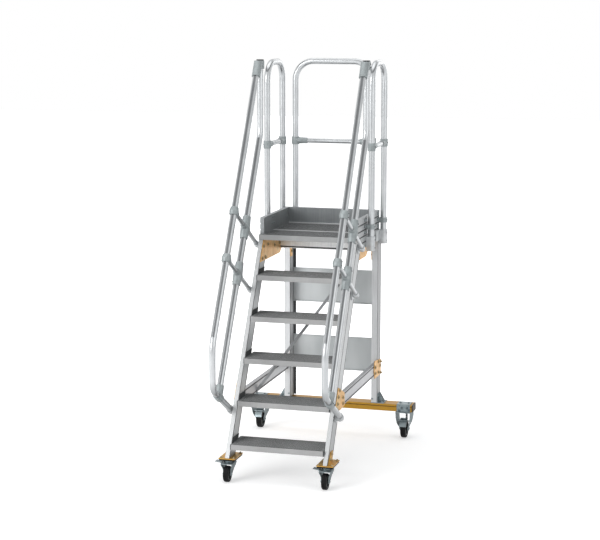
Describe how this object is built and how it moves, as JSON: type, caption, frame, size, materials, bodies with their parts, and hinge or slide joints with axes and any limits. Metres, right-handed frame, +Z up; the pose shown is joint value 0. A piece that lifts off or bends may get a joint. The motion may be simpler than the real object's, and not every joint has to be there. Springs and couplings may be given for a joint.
{
  "type": "mobile platform stairs",
  "caption": "Wheeled aluminium access stairs with a guarded platform, handrails and knee rails, swivel castors in front and fixed castors on a wide rear beam.",
  "frame": {"origin": "on the floor, in the middle of the stairs' outline seen from above", "axes": "+Z up; +Y towards the platform's back, the way a climber goes; +X to the climber's right, along the rear beam"},
  "size_m": [1.14, 1.5705, 2.5373],
  "materials": {
    "extruded_aluminium": "satin mill finish",
    "ribbed_aluminium": "ribbed, worn",
    "sheet_aluminium": "brushed sheet",
    "gold_anodised": "gold anodised",
    "dark_plastic": "matt moulded",
    "yellow_zinc": "yellow passivated zinc",
    "galvanised_steel": "bright zinc plated",
    "rubber_pad": "matt",
    "tube_aluminium": "satin drawn tube",
    "cast_aluminium": "cast, tumbled",
    "black_tyre": "matt rubber",
    "grey_hub": "moulded"
  },
  "bodies": {
    "frame": {"back_beam": "gold_anodised", "back_panels": "sheet_aluminium", "beam_end_caps": "dark_plastic", "castor_mounts": "yellow_zinc", "castor_pads": "rubber_pad", "cross_brace": "extruded_aluminium", "gussets": "yellow_zinc", "handrail_left": "tube_aluminium", "handrail_right": "tube_aluminium", "hoop_back": "tube_aluminium", "hoop_left": "tube_aluminium", "hoop_right": "tube_aluminium", "joint_plates": "yellow_zinc", "knee_rail_left": "tube_aluminium", "knee_rail_right": "tube_aluminium", "leg_rings": "cast_aluminium", "leg_sockets": "cast_aluminium", "mid_rail_couplers": "cast_aluminium", "mid_rails": "tube_aluminium", "platform_back_board": "extruded_aluminium", "platform_cross_beam": "extruded_aluminium", "platform_deck": "ribbed_aluminium", "platform_side_left": "extruded_aluminium", "platform_side_right": "extruded_aluminium", "post_feet": "galvanised_steel", "rail_clamps": "cast_aluminium", "rail_feet": "cast_aluminium", "rear_brackets": "galvanised_steel", "rear_forks": "galvanised_steel", "rear_post_left": "extruded_aluminium", "rear_post_right": "extruded_aluminium", "side_rails": "extruded_aluminium", "stringer_left": "extruded_aluminium", "stringer_right": "extruded_aluminium", "struts": "tube_aluminium", "swivel_heads": "galvanised_steel", "top_caps": "dark_plastic", "top_clamps": "cast_aluminium", "tread_1": "ribbed_aluminium", "tread_2": "ribbed_aluminium", "tread_3": "ribbed_aluminium", "tread_4": "ribbed_aluminium", "tread_5": "ribbed_aluminium"},
    "castor_fork_front_left": {"front_fork_left": "galvanised_steel", "brake_pedal_left": "galvanised_steel"},
    "castor_fork_front_right": {"front_fork_right": "galvanised_steel", "brake_pedal_right": "galvanised_steel"},
    "wheel_front_left": {"front_tyre_left": "black_tyre", "front_hub_left": "grey_hub"},
    "wheel_front_right": {"front_tyre_right": "black_tyre", "front_hub_right": "grey_hub"},
    "wheel_rear_left": {"rear_tyre_left": "black_tyre", "rear_hub_left": "grey_hub"},
    "wheel_rear_right": {"rear_tyre_right": "black_tyre", "rear_hub_right": "grey_hub"}
  },
  "joints": [
    {"name": "swivel_front_left", "type": "hinge", "parent": "frame", "child": "castor_fork_front_left", "pos_m": [-0.31, -0.56875, 0.115], "axis": [0, 0, 1], "continuous": true},
    {"name": "roll_front_left", "type": "hinge", "parent": "castor_fork_front_left", "child": "wheel_front_left", "pos_m": [-0.31, -0.60675, 0.05], "axis": [1, 0, 0], "continuous": true},
    {"name": "roll_rear_left", "type": "hinge", "parent": "frame", "child": "wheel_rear_left", "pos_m": [-0.5056, 0.72275, 0.0625], "axis": [1, 0, 0], "continuous": true},
    {"name": "swivel_front_right", "type": "hinge", "parent": "frame", "child": "castor_fork_front_right", "pos_m": [0.31, -0.56875, 0.115], "axis": [0, 0, 1], "continuous": true},
    {"name": "roll_front_right", "type": "hinge", "parent": "castor_fork_front_right", "child": "wheel_front_right", "pos_m": [0.31, -0.60675, 0.05], "axis": [1, 0, 0], "continuous": true},
    {"name": "roll_rear_right", "type": "hinge", "parent": "frame", "child": "wheel_rear_right", "pos_m": [0.5056, 0.72275, 0.0625], "axis": [1, 0, 0], "continuous": true}
  ]
}
